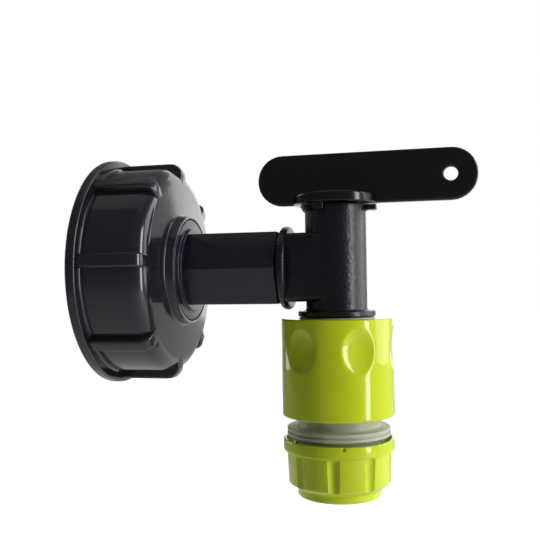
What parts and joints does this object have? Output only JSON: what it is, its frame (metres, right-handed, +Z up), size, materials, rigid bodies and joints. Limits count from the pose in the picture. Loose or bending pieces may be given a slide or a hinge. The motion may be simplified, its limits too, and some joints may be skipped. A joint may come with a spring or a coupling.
{
  "type": "tank outlet valve",
  "caption": "Swivel tank cap on a hexagonal tail, a quarter-turn plug tap under a flat key handle, and a quick hose connector with a sprung sleeve and a hose nut.",
  "frame": {"origin": "on the cap's axis, in the plane of the washer's face that seals on the tank's neck", "axes": "+X from the tank along the pipe to the tap, +Z up along the tap's stem, so the handle lies along X with the tap open"},
  "size_m": [0.1169, 0.0728, 0.1065],
  "materials": {
    "cap_plastic": "satin black injection-moulded polypropylene",
    "pipe_plastic": "gloss black injection-moulded plastic",
    "tap_plastic": "fine-grained semi-matt black plastic",
    "handle_plastic": "matt black plastic",
    "lime_plastic": "glossy lime ABS",
    "grey_plastic": "satin warm grey plastic",
    "plug_plastic": "natural acetal",
    "seal_rubber": "moulded EPDM",
    "spring_steel": "stainless spring steel"
  },
  "bodies": {
    "valve": {"seal_washer": "seal_rubber", "inlet_tail": "pipe_plastic", "inlet_o_ring": "seal_rubber", "tap_body": "tap_plastic", "seat_seal": "seal_rubber", "retaining_ring": "spring_steel", "connector_o_ring": "seal_rubber"},
    "cap": {"coupling_nut": "cap_plastic"},
    "key": {"handle": "handle_plastic", "valve_plug": "plug_plastic", "plug_o_ring_upper": "seal_rubber", "plug_o_ring_lower": "seal_rubber"},
    "connector": {"connector_body": "grey_plastic", "sleeve_spring": "spring_steel"},
    "sleeve": {"release_sleeve": "lime_plastic"},
    "jaw_1": {"locking_jaw_1": "spring_steel"},
    "jaw_2": {"locking_jaw_2": "spring_steel"},
    "jaw_3": {"locking_jaw_3": "spring_steel"},
    "jaw_4": {"locking_jaw_4": "spring_steel"},
    "claws": {"hose_collet": "plug_plastic"},
    "nut": {"hose_nut": "lime_plastic"}
  },
  "joints": [
    {"name": "cap_spin", "type": "hinge", "parent": "valve", "child": "cap", "pos_m": [0, 0, 0], "axis": [1, 0, 0], "continuous": true},
    {"name": "handle_turn", "type": "hinge", "parent": "valve", "child": "key", "pos_m": [0.06027, 0, 0], "axis": [0, 0, 1], "range_deg": [0, 90]},
    {"name": "connector_swivel", "type": "hinge", "parent": "valve", "child": "connector", "pos_m": [0.06027, 0, 0], "axis": [0, 0, 1], "continuous": true},
    {"name": "sleeve_slide", "type": "slide", "parent": "connector", "child": "sleeve", "axis": [0, 0, -1], "range_m": [0, 0.0032], "stiffness_N_per_m": 600, "springref_m": -0.004, "deforming": ["sleeve_spring"]},
    {"name": "jaw_1_slide", "type": "slide", "parent": "connector", "child": "jaw_1", "axis": [0.7071, 0.7071, 0], "range_m": [0, 0.0015]},
    {"name": "jaw_2_slide", "type": "slide", "parent": "connector", "child": "jaw_2", "axis": [-0.7071, 0.7071, 0], "range_m": [0, 0.0015]},
    {"name": "jaw_3_slide", "type": "slide", "parent": "connector", "child": "jaw_3", "axis": [-0.7071, -0.7071, 0], "range_m": [0, 0.0015]},
    {"name": "jaw_4_slide", "type": "slide", "parent": "connector", "child": "jaw_4", "axis": [0.7071, -0.7071, 0], "range_m": [0, 0.0015]},
    {"name": "claw_travel", "type": "slide", "parent": "connector", "child": "claws", "axis": [0, 0, -1], "range_m": [-0.0013, 0.0038]},
    {"name": "nut_turn", "type": "hinge", "parent": "claws", "child": "nut", "pos_m": [0.06027, 0, 0], "axis": [0, 0, -1], "range_deg": [-180, 540]}
  ],
  "couplings": [
    {"joint": "jaw_1_slide", "follows": "sleeve_slide", "ratio": 0.4375},
    {"joint": "jaw_2_slide", "follows": "sleeve_slide", "ratio": 0.4375},
    {"joint": "jaw_3_slide", "follows": "sleeve_slide", "ratio": 0.4375},
    {"joint": "jaw_4_slide", "follows": "sleeve_slide", "ratio": 0.4375},
    {"joint": "claw_travel", "follows": "nut_turn", "m_per_rad": 0.00039789}
  ]
}
